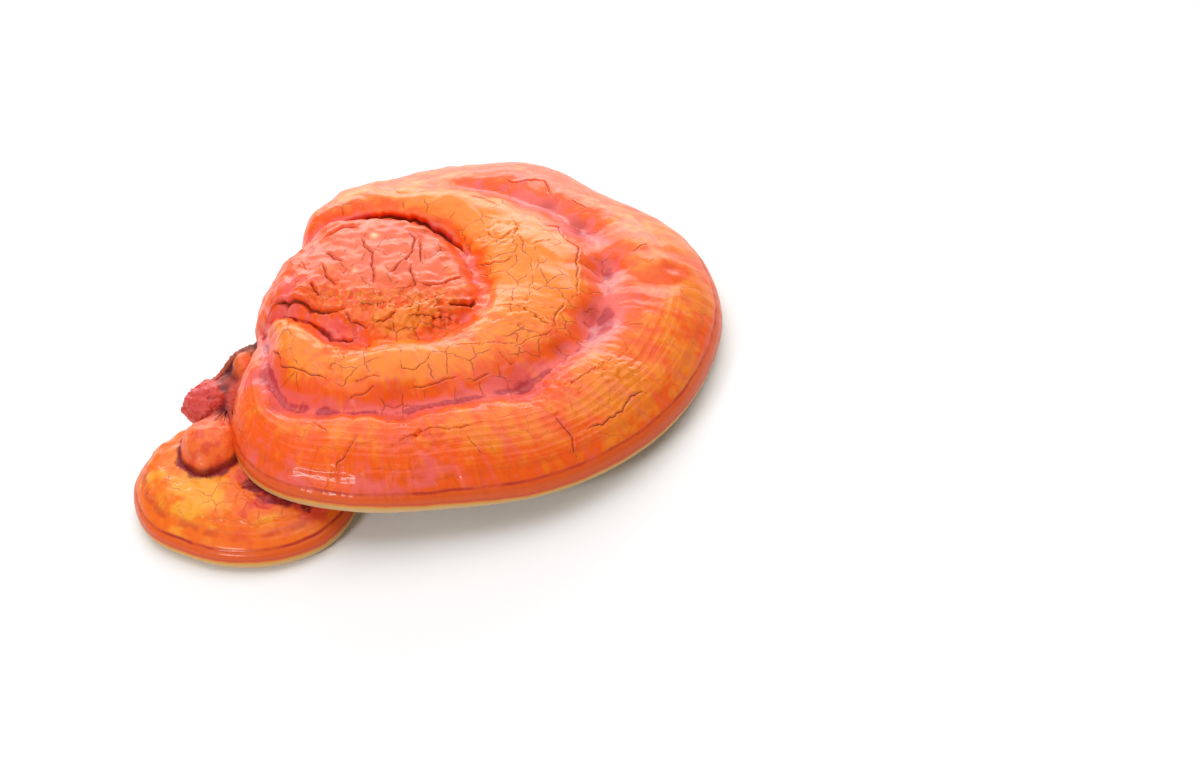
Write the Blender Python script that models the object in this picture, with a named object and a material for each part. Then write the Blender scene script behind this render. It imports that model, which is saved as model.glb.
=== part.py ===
"""Reishi mushroom, picked: a large bracket cap and a small one that grew from the same woody stub.

Metres, +Z up. The cluster lies on its underside, as it rests on a table: on the small cap's flat pore
face at the front left and on the large cap's margin at the far right. The stub's back is the flat cut
where it was taken off the log. The origin is at the middle of the bounding box's bottom.
"""

import math

import bmesh
import bpy
import numpy as np

MM = 0.001
JOINT_GAP = 0.3 * MM      # left between pieces that touch

# The large cap's growth point. Every other place in plan is measured from it, and every direction is
# in degrees anticlockwise from +X, seen from above.
CAP_GROWTH = (-16.43 * MM, -0.12 * MM)
CAP_DOME = 23 * MM        # rise of the top over the widest line of the margin
CAP_EQUATOR = 4 * MM      # height of that line over the margin's lower edge
CAP_HOLLOW = 3 * MM       # how far the pore face is dished in
CAP_FULLNESS = 2.5        # larger is flatter on top and steeper at the margin
CAP_LEAN = 4.7            # degrees by which the margin's plane sinks
CAP_LEAN_TOWARDS = 28
CAP_REACH = {             # millimetres from the growth point to the margin
    0: 116, 20: 115, 37: 107, 53: 107, 68: 96, 85: 83, 100: 74, 109: 66, 120: 50, 136: 46, 155: 43,
    170: 41, 182: 40, 195: 43, 208: 51, 223: 66, 240: 79, 263: 84, 283: 88, 305: 99, 325: 107, 343: 112,
}
KNOB_REACH = {            # millimetres from the growth point to the edge of the oldest growth
    10: 35, 50: 38, 88: 40, 124: 44, 150: 48, 172: 40, 191: 27, 223: 23, 255: 26, 289: 28,
    320: 34, 342: 38,
}
KNOB_RISE = 4 * MM        # on the near side; it stands higher over its groove on the far side
KNOB_FAR_RISE = 2 * MM
KNOB_STEEP = (35, 65, 190, 215)     # its side is steep between the inner two of these directions
FAR_SIDE_AT = 30 * MM     # distance behind the growth point at which the far side's values hold
FIRST_GROOVE = 1.6 * MM   # depth of the groove round the knob on the near side
FIRST_GROOVE_FAR = 3.4 * MM
GROOVE_WIDTH = 4.5 * MM
SECOND_GROOVE = 2.6 * MM
SECOND_GROOVE_AT = {      # as a share of the way to the margin
    0: 0.68, 30: 0.715, 60: 0.65, 88: 0.685, 104: 0.76, 120: 0.88, 150: 0.93, 175: 0.93, 195: 0.86,
    207: 0.76, 218: 0.70, 232: 0.69, 248: 0.68, 262: 0.66, 280: 0.65, 300: 0.645, 320: 0.66, 345: 0.69,
}
INNER_ROLL = 2.8 * MM
OUTER_ROLL = 1.8 * MM
MERGED_ROLL = 3.4 * MM    # along the far side the two rolls run together to one
MERGED = (48, 78)         # directions over which they do
HILUM = (128, 186)        # between these directions the knob itself reaches the margin
KNOB_LIMIT = 0.92         # and is held to this share of the way to the second groove
RING_CROWDING = 0.65      # how much closer the rings stand at grooves and margin; 0 is even
CAP_DENTS = (             # in the second groove and outside it: x, y, radius, depth in millimetres
    (8, -57, 6, 1.8), (48, -51, 8, 2.6), (72, -19, 7, 2.2), (79, 6, 7, 2.0), (71, 29, 7, 2.0),
    (-28, -48, 6, 1.6), (95, -2, 6, 1.2), (86, -38, 6, 1.2),
)
CAP_LUMPS = (             # swellings of the rolls: x, y, radius, height in millimetres
    (-26, -24, 10, 2.0), (8, -36, 11, 1.5), (44, -16, 12, 1.6), (52, 16, 11, 1.4), (-8, -68, 12, 1.3),
    (30, -70, 13, 1.4), (74, -48, 12, 1.4), (92, 20, 12, 1.4), (28, 44, 12, 1.4), (-2, 60, 10, 1.6),
)

# The small cap, about its own growth point.
SMALL_GROWTH = (-52 * MM, -40 * MM)
SMALL_DOME = 12.5 * MM
SMALL_EQUATOR = 4 * MM
SMALL_FULLNESS = 2.6
SMALL_ROLL = 1.4 * MM
SMALL_ROLL_AT = 0.70      # as a share of the way to its margin
SMALL_REACH = {
    0: 40, 30: 26, 60: 17, 100: 14, 140: 16, 165: 23, 190: 31, 210: 35, 230: 39, 250: 42, 270: 47,
    290: 52, 305: 54, 320: 52, 340: 46,
}

# The stub: round lumps run together, as centre and half-sizes in millimetres.
STUB_CORE = (-50, -24, 15)
STUB_LUMPS = (
    ((-46.5, -18, 12), (10.5, 12, 8)),
    ((-37, -5, 12), (10, 10, 8)),
    ((-28, 11, 10), (10, 11, 7)),
    ((-43.5, -9, 14), (8, 8.5, 8)),
    ((-43.5, -13.5, 19), (4.5, 5, 6)),
    ((-57, -22, 14), (8.5, 8, 7.5)),
    ((-55.5, -46, 15.5), (10, 11.5, 9.5)),
)
STUB_BLEND = 2.0 * MM     # how softly the lumps run together
STUB_SEARCH = 60 * MM     # no lump reaches further than this from the core
STUB_CUT_TOWARDS = 134    # the flat cut faces this way
STUB_CUT_AT = 10.6 * MM   # its distance from the stub's core

PROFILE_TOP = 0.76        # shares of a bracket's half section, from the crown to the pore face's middle
PROFILE_EDGE = 0.08


def new_collection(name, hidden=False):
    collection = bpy.data.collections.new(name)
    bpy.context.scene.collection.children.link(collection)
    collection.hide_render = hidden
    return collection


def finish_material(name, colour, roughness):
    material = bpy.data.materials.new(name)
    material.use_nodes = True
    shader = material.node_tree.nodes["Principled BSDF"]
    shader.inputs["Base Color"].default_value = (*colour, 1.0)
    shader.inputs["Roughness"].default_value = roughness
    shader.inputs["Metallic"].default_value = 0.0
    return material


def around(table, angle):
    """A smooth closed curve through the table's values, read at angles in degrees."""
    at = np.array(sorted(table), float)
    value = np.array([table[key] for key in sorted(table)], float)
    count = len(at)
    angle = np.mod(angle - at[0], 360) + at[0]
    left = np.clip(np.searchsorted(at, angle, side="right") - 1, 0, count - 1)

    def knot(index):
        return at[index % count] + 360 * (index // count), value[index % count]

    (a0, v0), (a1, v1), (a2, v2), (a3, v3) = (knot(left + step) for step in (-1, 0, 1, 2))
    span = a2 - a1
    t = (angle - a1) / span
    slope_1 = (v2 - v0) / (a2 - a0) * span
    slope_2 = (v3 - v1) / (a3 - a1) * span
    return (
        (2 * t**3 - 3 * t**2 + 1) * v1
        + (t**3 - 2 * t**2 + t) * slope_1
        + (3 * t**2 - 2 * t**3) * v2
        + (t**3 - t**2) * slope_2
    )


def ease(low, high, x):
    """0 at low, 1 at high and smooth between; low may be above high."""
    t = np.clip((x - low) / (high - low), 0, 1)
    return t * t * (3 - 2 * t)


def bump(x, width):
    return np.exp(-((x / width) ** 2))


def swellings(table, x, y):
    """The sum of round swellings given as x, y, radius and height in millimetres."""
    total = np.zeros(len(x))
    for centre_x, centre_y, radius, height in table:
        total += height * MM * bump(np.hypot(x - centre_x * MM, y - centre_y * MM), radius * MM)
    return total


def ball(around_count, rings):
    mesh_ball = bmesh.new()
    bmesh.ops.create_uvsphere(mesh_ball, u_segments=around_count, v_segments=rings, radius=1.0)
    return mesh_ball


def ball_directions(mesh_ball):
    """Each vertex's direction in plan and its share of the way from the top pole to the bottom one."""
    unit = np.array([vertex.co.normalized()[:] for vertex in mesh_ball.verts])
    share = np.arccos(np.clip(unit[:, 2], -1, 1)) / math.pi
    return np.degrees(np.arctan2(unit[:, 1], unit[:, 0])), share


def below_margin(share, reach, equator, hollow):
    """A bracket's half section under its widest line: radius, and height over the margin's low edge."""
    turn = np.clip((share - PROFILE_TOP) / PROFILE_EDGE, 0, 1) * math.pi / 2
    inward = np.clip((share - PROFILE_TOP - PROFILE_EDGE) / (1 - PROFILE_TOP - PROFILE_EDGE), 0, 1)
    lip = reach - equator * (1 - np.cos(turn))
    radius = np.where(inward > 0, (reach - equator) * (1 - inward), lip)
    return radius, equator * (1 - np.sin(turn)) + hollow * ease(0, 0.35, inward)


def dome_height(share, dome, fullness):
    return dome * np.sqrt(np.clip(1 - share**fullness, 0, 1))


def growth_radii(angle):
    """Radius of the knob's edge, of the second groove and of the margin in each direction."""
    reach = around(CAP_REACH, angle) * MM
    groove = around(SECOND_GROOVE_AT, angle) * reach
    return np.minimum(around(KNOB_REACH, angle) * MM, KNOB_LIMIT * groove), groove, reach


def cap_top(angle, growth):
    """The large cap's top over its margin plane, for a growth of 0 at the crown, 1 at the knob's edge,
    2 at the second groove and 3 at the margin."""
    knob, groove, reach = growth_radii(angle)
    radius = (
        knob * np.clip(growth, 0, 1)
        + (groove - knob) * np.clip(growth - 1, 0, 1)
        + (reach - groove) * np.clip(growth - 2, 0, 1)
    )
    x, y = radius * np.cos(np.radians(angle)), radius * np.sin(np.radians(angle))
    far_side = 0.5 + 0.5 * np.clip(y / FAR_SIDE_AT, -1, 1)
    turned = np.mod(angle, 360)
    off_hilum = 1 - ease(HILUM[0], HILUM[0] + 12, turned) * ease(HILUM[1], HILUM[1] - 10, turned)
    apart = 1 - ease(MERGED[0], MERGED[1], turned) * ease(HILUM[1] - 10, HILUM[1] - 20, turned)
    steep = ease(KNOB_STEEP[0], KNOB_STEEP[1], turned) * ease(KNOB_STEEP[3], KNOB_STEEP[2], turned)
    in_knob = np.clip(growth, 0, 1)
    swell = steep * np.sqrt(1 - in_knob**6) + (1 - steep) * (1 - in_knob**3)
    rise = (KNOB_RISE + KNOB_FAR_RISE * far_side) * swell
    depth = FIRST_GROOVE + (FIRST_GROOVE_FAR - FIRST_GROOVE) * far_side
    first = depth * bump(radius - knob - 0.3 * GROOVE_WIDTH, GROOVE_WIDTH)
    second = SECOND_GROOVE * bump(radius - groove, GROOVE_WIDTH)
    inner = INNER_ROLL * np.sin(math.pi * np.clip(growth - 1, 0, 1)) ** 1.3
    outer = OUTER_ROLL * np.sin(math.pi * np.clip(growth - 2, 0, 1)) ** 1.2
    merged = MERGED_ROLL * np.sin(math.pi * np.clip((growth - 1) / 2, 0, 1) ** 0.7) ** 1.2
    rolls = apart * (inner + outer - second) + (1 - apart) * merged
    lumps = swellings(CAP_LUMPS, x, y) - swellings(CAP_DENTS, x, y)
    relief = (rise + (rolls - first) * off_hilum + lumps) * ease(1.0, 0.93, radius / reach)
    return radius, CAP_EQUATOR + dome_height(radius / reach, CAP_DOME, CAP_FULLNESS) + relief


def object_from(mesh_ball, name, collection, material):
    bmesh.ops.recalc_face_normals(mesh_ball, faces=mesh_ball.faces)
    mesh = bpy.data.meshes.new(name)
    mesh_ball.to_mesh(mesh)
    mesh_ball.free()
    mesh.shade_smooth()
    mesh.materials.append(material)
    piece = bpy.data.objects.new(name, mesh)
    collection.objects.link(piece)
    return piece


def place_vertices(mesh_ball, points):
    for vertex, point in zip(mesh_ball.verts, points):
        vertex.co = point


def large_cap(collection):
    mesh_ball = ball(82, 38)
    angle, share = ball_directions(mesh_ball)
    step = 3 * np.clip(share / PROFILE_TOP, 0, 1)
    growth = step - RING_CROWDING * np.sin(2 * math.pi * step) / (2 * math.pi)
    top_radius, top_height = cap_top(angle, growth)
    low_radius, low_height = below_margin(share, growth_radii(angle)[2], CAP_EQUATOR, CAP_HOLLOW)
    is_top = share <= PROFILE_TOP + 1e-6
    radius = np.where(is_top, top_radius, low_radius)
    x, y = radius * np.cos(np.radians(angle)), radius * np.sin(np.radians(angle))
    lean_way = math.radians(CAP_LEAN_TOWARDS)
    sink = math.tan(math.radians(CAP_LEAN)) * (x * math.cos(lean_way) + y * math.sin(lean_way))
    height = np.where(is_top, top_height, low_height) - sink
    height -= height.min()
    place_vertices(mesh_ball, np.stack([CAP_GROWTH[0] + x, CAP_GROWTH[1] + y, height], axis=1))
    finish = finish_material("lacquered_cap", (0.84, 0.26, 0.05), 0.35)
    return object_from(mesh_ball, "cap", collection, finish)


def small_cap(collection):
    mesh_ball = ball(40, 20)
    angle, share = ball_directions(mesh_ball)
    reach = around(SMALL_REACH, angle) * MM
    out = 1 - (1 - np.clip(share / PROFILE_TOP, 0, 1)) ** 1.5
    roll = SMALL_ROLL * bump(out - SMALL_ROLL_AT, 0.12) * ease(1.0, 0.9, out)
    top_height = SMALL_EQUATOR + dome_height(out, SMALL_DOME, SMALL_FULLNESS) + roll
    low_radius, low_height = below_margin(share, reach, SMALL_EQUATOR, 0)
    is_top = share <= PROFILE_TOP + 1e-6
    radius = np.where(is_top, out * reach, low_radius)
    height = np.where(is_top, top_height, low_height)
    x = CAP_GROWTH[0] + SMALL_GROWTH[0] + radius * np.cos(np.radians(angle))
    y = CAP_GROWTH[1] + SMALL_GROWTH[1] + radius * np.sin(np.radians(angle))
    place_vertices(mesh_ball, np.stack([x, y, height], axis=1))
    finish = finish_material("lacquered_small_cap", (0.86, 0.36, 0.08), 0.35)
    return object_from(mesh_ball, "small_cap", collection, finish)


def stub_distance(points):
    """Rough signed distance to the run-together lumps, below 0 inside."""
    total = np.zeros(len(points))
    for centre, half in STUB_LUMPS:
        scaled = (points - np.array(centre) * MM) / (np.array(half) * MM)
        away = (np.linalg.norm(scaled, axis=1) - 1) * min(half) * MM
        total += np.exp(-away / STUB_BLEND)
    return -np.log(total) * STUB_BLEND


def stub(collection):
    """A ball whose every vertex is moved along its own direction to the outermost lump's surface."""
    mesh_ball = ball(42, 22)
    unit = np.array([vertex.co.normalized()[:] for vertex in mesh_ball.verts])
    core = np.array(STUB_CORE) * MM
    inside = np.zeros(len(unit))
    for distance in np.arange(STUB_SEARCH, 0, -MM):
        hit = (stub_distance(core + unit * distance) < 0) & (inside == 0)
        inside[hit] = distance
    outside = inside + MM
    for _ in range(10):
        middle = (inside + outside) / 2
        solid = stub_distance(core + unit * middle[:, None]) < 0
        inside = np.where(solid, middle, inside)
        outside = np.where(solid, outside, middle)
    growth = np.array([*CAP_GROWTH, 0])
    place_vertices(mesh_ball, growth + core + unit * inside[:, None])
    slice_off_log(mesh_ball, growth + core)
    return object_from(mesh_ball, "stub", collection, finish_material("stub_bark", (0.42, 0.08, 0.07), 0.6))


def slice_off_log(mesh_ball, core):
    """Cuts the stub off flat and closes the cut with one face."""
    direction = math.radians(STUB_CUT_TOWARDS)
    normal = np.array([math.cos(direction), math.sin(direction), 0])
    geometry = mesh_ball.verts[:] + mesh_ball.edges[:] + mesh_ball.faces[:]
    cut = bmesh.ops.bisect_plane(
        mesh_ball, geom=geometry, plane_co=core + normal * STUB_CUT_AT, plane_no=normal, clear_outer=True
    )
    edges = [item for item in cut["geom_cut"] if isinstance(item, bmesh.types.BMEdge)]
    bmesh.ops.contextual_create(mesh_ball, geom=edges)


def swollen_copy(piece, collection, name):
    """A cutter that stands off the piece by the joint gap."""
    cutter = bpy.data.objects.new(name, piece.data.copy())
    collection.objects.link(cutter)
    cutter.hide_render = True
    cutter.display_type = "WIRE"
    swell = cutter.modifiers.new("gap", "DISPLACE")
    swell.strength = JOINT_GAP
    swell.mid_level = 0
    return cutter


def cut_away(piece, cutter):
    cut = piece.modifiers.new("clear_of_" + cutter.name, "BOOLEAN")
    cut.operation = "DIFFERENCE"
    cut.solver = "EXACT"
    cut.use_self = True
    cut.object = cutter


def main():
    for old in list(bpy.data.objects):
        bpy.data.objects.remove(old)
    parts = new_collection("reishi_mushroom")
    cutters = new_collection("cutters", hidden=True)
    cap = large_cap(parts)
    little = small_cap(parts)
    base = stub(parts)
    cap_cutter = swollen_copy(cap, cutters, "cap_clearance")
    small_cutter = swollen_copy(little, cutters, "small_cap_clearance")
    cut_away(little, cap_cutter)
    cut_away(base, cap_cutter)
    cut_away(base, small_cutter)


main()
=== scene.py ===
"""Reishi mushroom, picked: the looks of a large lacquered cap, a small one and the stub they grew from.

The three pieces are grown again over their CAD solids from the same named sizes, with the cracks, wrinkles,
pits, growth lines and finishes of the real crust. Metres, +Z up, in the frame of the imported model.
"""

import math
from types import SimpleNamespace

import bmesh
import bpy
import numpy as np
from mathutils import Matrix, Vector, noise


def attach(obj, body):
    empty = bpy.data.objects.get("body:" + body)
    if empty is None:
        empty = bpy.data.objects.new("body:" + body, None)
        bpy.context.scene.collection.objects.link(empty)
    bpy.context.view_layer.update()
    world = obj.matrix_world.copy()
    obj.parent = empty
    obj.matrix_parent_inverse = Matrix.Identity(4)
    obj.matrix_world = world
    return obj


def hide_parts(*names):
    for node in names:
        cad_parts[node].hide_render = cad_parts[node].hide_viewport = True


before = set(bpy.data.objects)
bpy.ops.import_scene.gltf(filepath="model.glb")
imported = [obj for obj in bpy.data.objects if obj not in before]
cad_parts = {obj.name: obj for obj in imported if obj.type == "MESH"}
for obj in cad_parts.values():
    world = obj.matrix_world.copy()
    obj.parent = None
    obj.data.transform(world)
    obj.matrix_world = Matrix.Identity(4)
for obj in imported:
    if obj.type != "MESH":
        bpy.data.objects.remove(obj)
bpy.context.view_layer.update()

bl_info = {
    "name": "Reishi mushroom",
    "version": (1, 0, 0),
    "blender": (4, 5, 0),
    "location": "View3D > Sidebar > Reishi",
    "description": "Grows the crust, pore faces and woody stub of a picked reishi mushroom",
    "category": "Object",
}

MM = 0.001
NOISE_SEED = 5            # without one the cracks would wander differently in each run
noise.seed_set(NOISE_SEED)

# The large cap. Places in plan are measured from its growth point, in millimetres where a table holds
# them, and directions are in degrees anticlockwise from +X, seen from above.
CAP_GROWTH = (-16.43 * MM, -0.12 * MM)
CAP_DOME = 23 * MM
CAP_EQUATOR = 4 * MM      # height of the margin's widest line over its lower edge
CAP_HOLLOW = 3 * MM       # how far the pore face is dished in
CAP_FULLNESS = 2.5
CAP_LEAN = 4.7            # degrees by which the margin's plane sinks
CAP_LEAN_TOWARDS = 28
CAP_REACH = {
    0: 116, 20: 115, 37: 107, 53: 107, 68: 96, 85: 83, 100: 74, 109: 66, 120: 50, 136: 46, 155: 43,
    170: 41, 182: 40, 195: 43, 208: 51, 223: 66, 240: 79, 263: 84, 283: 88, 305: 99, 325: 107, 343: 112,
}
KNOB_REACH = {
    10: 35, 50: 38, 88: 40, 124: 44, 150: 48, 172: 40, 191: 27, 223: 23, 255: 26, 289: 28,
    320: 34, 342: 38,
}
KNOB_RISE = 4 * MM
KNOB_FAR_RISE = 2 * MM    # what the far side adds to it
KNOB_STEEP = (35, 65, 190, 215)     # directions between which its wall becomes steep, and gentle again
FAR_SIDE_AT = 30 * MM
FIRST_GROOVE = 1.6 * MM   # depth of the groove round the knob on the near side
FIRST_GROOVE_FAR = 3.4 * MM
GROOVE_WIDTH = 4.5 * MM
SECOND_GROOVE = 2.6 * MM
SECOND_GROOVE_AT = {
    0: 0.68, 30: 0.715, 60: 0.65, 88: 0.685, 104: 0.76, 120: 0.88, 150: 0.93, 175: 0.93, 195: 0.86,
    207: 0.76, 218: 0.70, 232: 0.69, 248: 0.68, 262: 0.66, 280: 0.65, 300: 0.645, 320: 0.66, 345: 0.69,
}
INNER_ROLL = 2.8 * MM
OUTER_ROLL = 1.8 * MM
MERGED_ROLL = 3.4 * MM
MERGED = (48, 78)         # directions over which the two rolls become one
HILUM = (128, 186)        # directions between which the stub takes the grooves' place
KNOB_LIMIT = 0.92         # the knob's most, as a share of the second groove's radius
# Dents and lumps: x, y, radius and depth or height in millimetres.
CAP_DENTS = (
    (8, -57, 6, 1.8), (48, -51, 8, 2.6), (72, -19, 7, 2.2), (79, 6, 7, 2.0), (71, 29, 7, 2.0),
    (-28, -48, 6, 1.6), (95, -2, 6, 1.2), (86, -38, 6, 1.2),
)
CAP_LUMPS = (
    (-26, -24, 10, 2.0), (8, -36, 11, 1.5), (44, -16, 12, 1.6), (52, 16, 11, 1.4), (-8, -68, 12, 1.3),
    (30, -70, 13, 1.4), (74, -48, 12, 1.4), (92, 20, 12, 1.4), (28, 44, 12, 1.4), (-2, 60, 10, 1.6),
)
# Smaller pits that only the crust shows: x, y, radius, depth in millimetres.
CAP_PITS = (
    (8, -61, 3, 0.5), (48, -49, 3.5, 0.5), (72, 35, 3, 0.8), (63, 47, 3, 0.7), (81, 12, 3, 0.7),
    (74, -16, 3, 0.8), (101, 8, 3, 0.4), (-37, -33, 3, 0.6), (-32, -49, 3, 0.7), (36, 8, 2.5, 0.6),
    (61, -35, 3, 0.7), (89, -11, 3, 0.4), (105, -6, 3, 0.3), (29, -56, 3, 0.6), (-16, -55, 3, 0.6),
)
# Low lumps on and below the knob, which the solids leave out, in the same way.
KNOB_LUMPS = (
    (3, -24, 4.5, 1.1), (11, -23, 5.0, 1.3), (20, -19, 4.5, 1.2), (-5, -17, 3.5, 0.8), (28, -15, 4.0, 0.7),
    (-20, 5, 5.0, 0.7), (-15, -4, 4.0, 0.6), (-8, 9, 6.0, 0.5), (22, 8, 7.0, 0.5), (6, 2, 5.0, 0.4),
)
# Where the crust is scuffed, flecked, matte, yellower, redder or crumbly: x, y, radius and strength.
CAP_SCUFFS = ((-12, -8, 5, 0.7), (-3, -10, 5, 0.9), (6, -13, 6, 1.0), (16, -14, 5, 1.0), (25, -12, 5, 0.8))
CAP_FLECKS = ((4, 22, 1.2, 1.0), (-3, 4, 0.8, 0.7))
CAP_MATTE = ((4, 12, 18, 1.1), (18, 8, 12, 0.7), (-12, 16, 10, 0.4))
# The yellows at the right margin, (100, -38), (113, 0) and (106, 34), are partly painted light from the
# right.
CAP_YELLOWS = (
    (52, 0, 20, 2.4), (40, 32, 16, 1.6), (-24, -30, 12, 0.8), (14, -42, 12, 0.8), (80, -54, 8, 2.4),
    (100, -38, 13, 2.6), (113, 0, 13, 2.6), (106, 34, 12, 1.8), (-44, -52, 9, 0.8), (10, -24, 10, 1.6),
    (-5, -17, 6, 1.2), (80, -74, 13, 2.2), (60, -88, 10, 1.4),
)
CAP_REDS = (
    (0, 72, 26, 2.1), (60, 62, 22, 1.8), (77, 6, 7, 2.0), (78, -24, 7, 2.0), (89, -11, 6, 2.4),
    (91, -35, 6, 1.6), (100, 6, 6, 2.0), (69, 29, 7, 2.0), (63, 47, 7, 1.6), (94, 22, 7, 1.6),
    (14, -72, 14, 0.8), (-12, -20, 8, 2.5), (-20, 44, 10, 1.0), (-4, 46, 9, 1.0), (-22, 4, 9, 2.0),
    (-30, -3, 8, 1.5), (44, -50, 14, 1.0), (78, -20, 10, 1.4), (-42, -60, 10, 1.8), (-26, -72, 10, 2.2),
    (-6, -78, 11, 2.2), (16, -80, 11, 1.8), (-37, -34, 7, 4.6),
)
CAP_CRUMBLES = (
    (2, -17, 12, 1.0), (22, -17, 10, 1.0), (-14, -6, 9, 0.9), (56, -52, 9, 0.8), (14, -70, 10, 0.6),
    (78, -46, 7, 0.7), (46, 22, 10, 0.5), (-8, -38, 9, 0.4), (50, -24, 9, 0.6),
)
# The large cap's fine relief: how wide its features are, how high and how far apart.
PILLOW_SIZE = 13 * MM
KNOT_SIZE = 4.5 * MM
FURROW_SIZE = 9 * MM
WRINKLE_SIZE = 3.6 * MM
FAR_SWELL = 0.4 * MM
RIPPLE_HEIGHT = 0.09 * MM
RIPPLE_STEP = 2.4 * MM
CRUMBLE_SIZE = 2.8 * MM
CRUMBLE_HEIGHT = 0.7 * MM
MARGIN_FURROW = 0.25 * MM   # depth of the furrow round each margin
# A crack's line wanders to both sides: quickly, and twice as far slowly.
WANDER_STEP = 0.6 * MM
WANDER_SWAY = 0.55 * MM
WANDER_SIZES = (1.7 * MM, 6 * MM)
CRACK_FAR = 6.0             # half widths from a crack at which nothing of it shows any more
CRACK_SNAP = 0.16 * MM      # vertices as near as this to a crack move onto its line
# Cracks in the large cap's crust: depth and half width in millimetres, then the points they run through.
CREVICE = (2.4, 0.75)
OLD_CRACK = (1.0, 0.44)
CRACK = (0.6, 0.34)
HAIRLINE = (0.4, 0.27)
CAP_CRACKS = (
    (CREVICE, ((-34, -7), (-28, -6), (-23, -10), (-19, -14), (-15, -19), (-12, -24), (-8, -25), (-2, -25))),
    (CREVICE, ((-14, 26), (-9, 28), (-5, 30), (-1, 29))),
    (CREVICE, (
        (-14, 41), (-6, 43), (2, 43), (7, 42), (12, 41), (15, 39), (19, 37), (22, 35), (25, 32), (28, 28),
        (32, 21), (34, 17),
    )),
    (CREVICE, ((-34, 0), (-30, 0), (-27, -2), (-22, -5), (-18, -10), (-14, -13), (-9, -14), (-5, -13))),
    (OLD_CRACK, ((-5, -13), (0, -13), (4, -14), (7, -13))),
    (OLD_CRACK, ((0, 24), (0, 18), (3, 12), (3, 7), (3, 1), (3, -4), (2, -6))),
    (OLD_CRACK, ((15, 24), (17, 20), (17, 13), (15, 10), (13, 7), (10, 2), (6, 1))),
    (OLD_CRACK, ((19, 20), (19, 13), (18, 5))),
    (OLD_CRACK, ((15, 6), (16, 0), (16, -5), (14, -7), (9, -8))),
    (HAIRLINE, ((8, -5), (12, -4))),
    (OLD_CRACK, ((17, -4), (21, -5), (26, -5), (29, -2), (32, 1))),
    (HAIRLINE, ((-8, 3), (-6, 7))),
    (HAIRLINE, ((-22, 18), (-19, 8))),
    (OLD_CRACK, ((-18, 1), (-15, -7))),
    (OLD_CRACK, ((-13, 17), (-10, 13), (-7, 8))),
    (OLD_CRACK, ((-14, 10), (-13, 2), (-11, -1), (-9, -2))),
    (HAIRLINE, ((3, 14), (6, 12))),
    (HAIRLINE, ((2, -6), (3, -9), (6, -11), (10, -12))),
    (OLD_CRACK, ((-8, -15), (-6, -20), (-3, -20), (-1, -22), (1, -23))),
    (OLD_CRACK, ((1, -22), (4, -21), (7, -20), (10, -17))),
    (HAIRLINE, ((3, -13), (3, -17))),
    (HAIRLINE, ((16, -14), (21, -12), (26, -12))),
    (CRACK, ((13, -20), (19, -20), (23, -19), (29, -20))),
    (CREVICE, ((26, -15), (30, -14), (33, -13), (36, -9))),
    (CRACK, ((-32, -23), (-30, -28), (-29, -34), (-27, -36), (-23, -39), (-15, -44), (-13, -47))),
    (HAIRLINE, ((-16, -31), (-9, -32), (-8, -37), (-13, -39), (-13, -43))),
    (HAIRLINE, ((-7, -47), (-3, -46), (4, -46))),
    (HAIRLINE, ((-9, -52), (-5, -51), (2, -49))),
    (HAIRLINE, ((10, -39), (10, -44), (15, -45), (19, -41), (19, -36))),
    (HAIRLINE, ((11, -50), (18, -50), (23, -49), (28, -47))),
    (HAIRLINE, ((27, -35), (34, -35), (37, -34))),
    (HAIRLINE, ((31, -50), (34, -48), (38, -46))),
    (CRACK, ((58, 35), (61, 28), (65, 29), (67, 21), (71, 17), (70, 8), (69, -3), (69, -9), (65, -15))),
    (CRACK, ((65, -15), (61, -22), (60, -28))),
    (HAIRLINE, ((60, -28), (52, -33), (45, -37))),
    (CRACK, ((41, -17), (46, -18), (51, -20), (57, -25), (60, -28))),
    (HAIRLINE, ((52, 12), (55, 6), (54, 2), (55, -4), (54, -9), (51, -18))),
    (CRACK, ((41, 26), (42, 22), (46, 19), (50, 24), (52, 25))),
    (CRACK, ((50, 34), (52, 25), (50, 21), (53, 15), (52, 11), (55, 6))),
    (HAIRLINE, ((35, -35), (42, -35), (48, -35))),
    (HAIRLINE, ((40, -38), (43, -41), (45, -43))),
    (HAIRLINE, ((62, -28), (66, -30), (68, -33))),
    (HAIRLINE, ((55, 13), (65, 20))),
    (CRACK, ((36, 12), (40, 8), (46, 7), (50, 10))),
    (CRACK, ((-5, -68), (-7, -71), (-10, -74), (-13, -75), (-14, -77))),
    (HAIRLINE, ((-20, -60), (-17, -63), (-15, -66))),
    (HAIRLINE, ((4, -73), (10, -69), (17, -67), (22, -69), (28, -69), (34, -67))),
    (HAIRLINE, ((27, -72), (30, -74), (33, -77))),
    (CRACK, ((56, -63), (59, -68), (61, -71), (61, -74), (62, -77))),
    (HAIRLINE, ((60, -54), (66, -49), (71, -46), (78, -40))),
    (CRACK, ((65, -70), (68, -66), (71, -65), (78, -60), (82, -55), (85, -52), (89, -52))),
    (HAIRLINE, ((83, -24), (89, -23))),
    (HAIRLINE, ((88, 14), (92, 17), (95, 19))),
    (HAIRLINE, ((70, 49), (74, 45), (77, 43))),
    (CRACK, ((48, 64), (52, 61), (62, 61), (65, 50))),
    (HAIRLINE, ((36, 46), (41, 46), (46, 41))),
)

# The small cap, about its own growth point.
SMALL_GROWTH = (-52 * MM, -40 * MM)
SMALL_DOME = 12.5 * MM
SMALL_EQUATOR = 4 * MM
SMALL_FULLNESS = 2.6
SMALL_ROLL = 1.4 * MM
SMALL_ROLL_AT = 0.70
SMALL_REACH = {
    0: 40, 30: 26, 60: 17, 100: 14, 140: 16, 165: 23, 190: 31, 210: 35, 230: 39, 250: 42, 270: 47,
    290: 52, 305: 54, 320: 52, 340: 46,
}
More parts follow.
